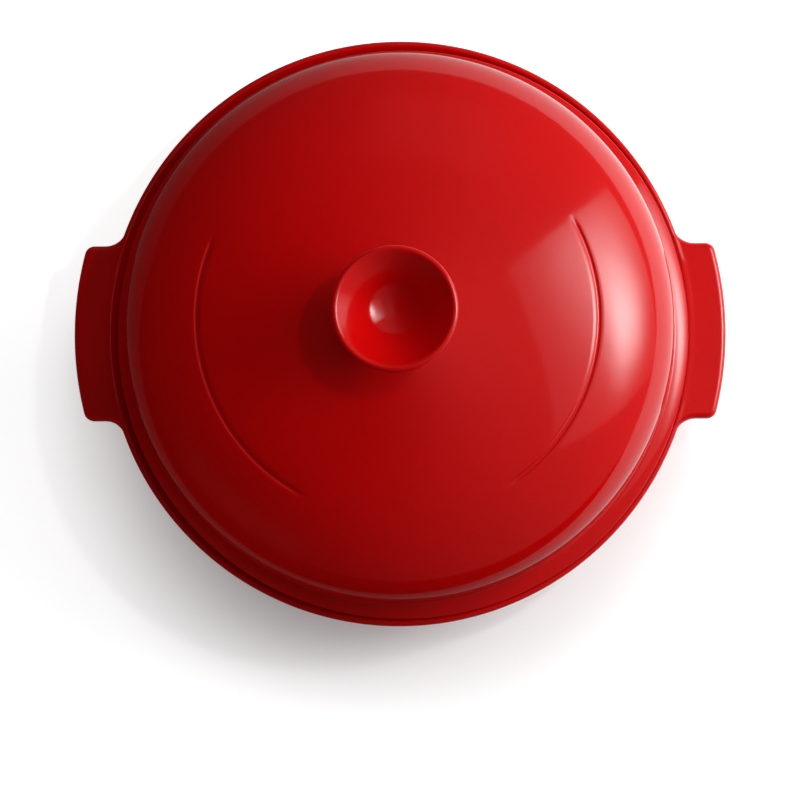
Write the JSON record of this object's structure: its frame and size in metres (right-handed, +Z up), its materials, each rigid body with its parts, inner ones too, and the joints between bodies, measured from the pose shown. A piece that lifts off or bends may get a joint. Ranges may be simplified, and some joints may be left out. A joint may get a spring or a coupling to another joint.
{
  "type": "bread cloche",
  "caption": "Round lidded stoneware baking dish with two side handles and a domed lid with a cupped knob, for baking a loaf.",
  "frame": {"origin": "middle of the foot ring's standing plane, under the middle of the dish", "axes": "+Z up, +X along the two handles, +Y away from the viewer"},
  "size_m": [0.3276, 0.295, 0.1561],
  "materials": {
    "red_glaze": "glossy red glaze"
  },
  "bodies": {
    "base": {"base_dish": "red_glaze"},
    "lid": {"dome_lid": "red_glaze"}
  },
  "joints": [
    {"name": "lid_lift", "type": "slide", "parent": "base", "child": "lid", "axis": [0, 0, 1], "range_m": [0, 0.2]}
  ]
}
